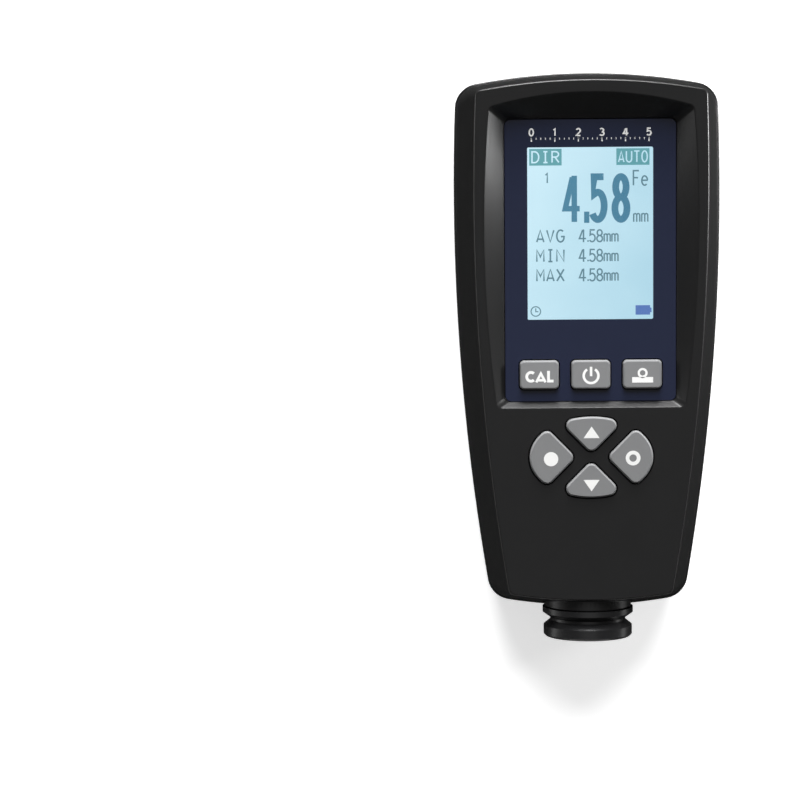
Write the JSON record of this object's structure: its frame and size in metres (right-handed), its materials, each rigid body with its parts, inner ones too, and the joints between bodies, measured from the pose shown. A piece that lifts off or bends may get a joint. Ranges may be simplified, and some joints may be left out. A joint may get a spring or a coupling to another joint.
{
  "type": "coating thickness gauge",
  "caption": "Pocket coating thickness gauge with a recessed display, soft keys, a key cluster and a sprung contact probe, lying on its back.",
  "frame": {"origin": "under the middle of the whole length, on the surface that the back lies on", "axes": "+X to the display's right, +Y towards the display's top end, +Z out of the display"},
  "size_m": [0.054, 0.1152, 0.0264],
  "materials": {
    "housing_black": "fine satin spark texture",
    "panel_navy": "matte print on a plastic plate",
    "window_clear": "clear gloss",
    "lcd_pale": "backlit liquid crystal cell",
    "backlight_white": "diffusing white",
    "frame_dark": "plain",
    "board_green": "solder mask",
    "chip_black": "moulded",
    "steel": "zinc plated",
    "key_grey": "soft satin",
    "mat_grey": "soft matte",
    "probe_black": "turned satin",
    "core_brass": "turned",
    "pin_hard": "polished",
    "coil_copper": "enamelled copper winding",
    "cell_wrap": "printed foil wrap"
  },
  "bodies": {
    "housing": {"front_housing": "housing_black", "rear_housing": "housing_black", "display_panel": "panel_navy", "display_window": "window_clear", "lcd_glass": "lcd_pale", "lcd_backlight": "backlight_white", "lcd_frame": "frame_dark", "main_board": "board_green", "microcontroller": "chip_black", "board_screws": "steel", "case_screws": "steel", "keypad_mat": "mat_grey", "probe_sleeve": "probe_black", "probe_cap": "probe_black", "probe_spring": "steel", "battery_1": "cell_wrap", "battery_2": "cell_wrap", "contact_springs": "steel", "contact_plates": "steel"},
    "battery_door": {"battery_door": "housing_black"},
    "probe_core": {"probe_core": "core_brass", "probe_pin": "pin_hard", "sensor_coil": "coil_copper"},
    "key_cal": {"key_cal": "key_grey"},
    "key_power": {"key_power": "key_grey"},
    "key_zero": {"key_zero": "key_grey"},
    "key_up": {"key_up": "key_grey"},
    "key_down": {"key_down": "key_grey"},
    "key_left": {"key_left": "key_grey"},
    "key_right": {"key_right": "key_grey"}
  },
  "joints": [
    {"name": "key_cal_press", "type": "slide", "parent": "housing", "child": "key_cal", "axis": [0, 0, -1], "range_m": [0, 0.0008], "stiffness_N_per_m": 400},
    {"name": "key_power_press", "type": "slide", "parent": "housing", "child": "key_power", "axis": [0, 0, -1], "range_m": [0, 0.0008], "stiffness_N_per_m": 400},
    {"name": "key_zero_press", "type": "slide", "parent": "housing", "child": "key_zero", "axis": [0, 0, -1], "range_m": [0, 0.0008], "stiffness_N_per_m": 400},
    {"name": "key_up_press", "type": "slide", "parent": "housing", "child": "key_up", "axis": [0, 0, -1], "range_m": [0, 0.0008], "stiffness_N_per_m": 400},
    {"name": "key_down_press", "type": "slide", "parent": "housing", "child": "key_down", "axis": [0, 0, -1], "range_m": [0, 0.0008], "stiffness_N_per_m": 400},
    {"name": "key_left_press", "type": "slide", "parent": "housing", "child": "key_left", "axis": [0, 0, -1], "range_m": [0, 0.0008], "stiffness_N_per_m": 400},
    {"name": "key_right_press", "type": "slide", "parent": "housing", "child": "key_right", "axis": [0, 0, -1], "range_m": [0, 0.0008], "stiffness_N_per_m": 400},
    {"name": "probe_plunge", "type": "slide", "parent": "housing", "child": "probe_core", "axis": [0, 1, 0], "range_m": [0, 0.002], "stiffness_N_per_m": 800, "springref_m": -0.001, "deforming": ["probe_spring"]},
    {"name": "battery_door_slide", "type": "slide", "parent": "housing", "child": "battery_door", "axis": [0, -1, 0], "range_m": [0, 0.076]}
  ]
}
